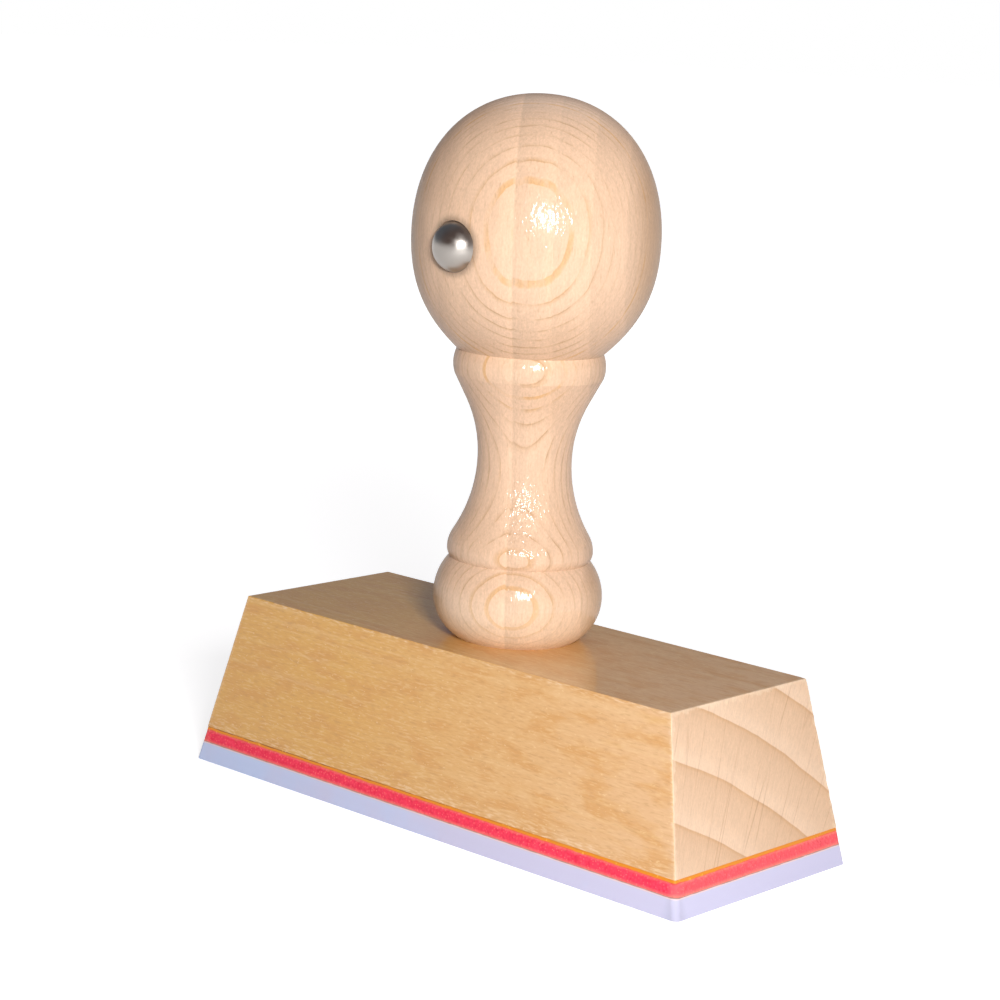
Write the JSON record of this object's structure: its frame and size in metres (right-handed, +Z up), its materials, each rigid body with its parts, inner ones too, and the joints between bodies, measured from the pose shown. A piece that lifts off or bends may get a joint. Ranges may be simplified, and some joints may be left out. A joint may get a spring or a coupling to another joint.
{
  "type": "rubber stamp",
  "caption": "Wooden hand stamp: turned ball handle on a sloped beech block, foam cushion and engraved rubber die, with a domed index pin at the front.",
  "frame": {"origin": "middle of the printing face, on the die's middle rule", "axes": "+X along the die's long side, +Z up the handle's axis, -Y to the front long side that the index pin marks"},
  "size_m": [0.0902, 0.0369, 0.0993],
  "materials": {
    "turned_beech": "turned beech under clear gloss lacquer",
    "pin_chrome": "mirror-bright plating",
    "block_beech": "planed beech moulding, clear lacquer on top, sawn ends",
    "screw_steel": "zinc plated",
    "amber_film": "clear amber adhesive film",
    "red_foam": "fine closed-cell foam",
    "buff_film": "thin adhesive film",
    "lilac_rubber": "smooth matt engraved rubber"
  },
  "bodies": {
    "mounted_handle": {"mount_block": "block_beech", "handle": "turned_beech", "index_pin": "pin_chrome", "handle_screw": "screw_steel", "upper_adhesive": "amber_film", "foam_cushion": "red_foam"},
    "printing_die": {"rubber_die": "lilac_rubber", "lower_adhesive": "buff_film"}
  },
  "joints": [
    {"name": "cushion_squeeze", "type": "slide", "parent": "mounted_handle", "child": "printing_die", "axis": [0, 0, 1], "range_m": [0, 0.0006], "stiffness_N_per_m": 60000, "deforming": ["foam_cushion"]}
  ]
}
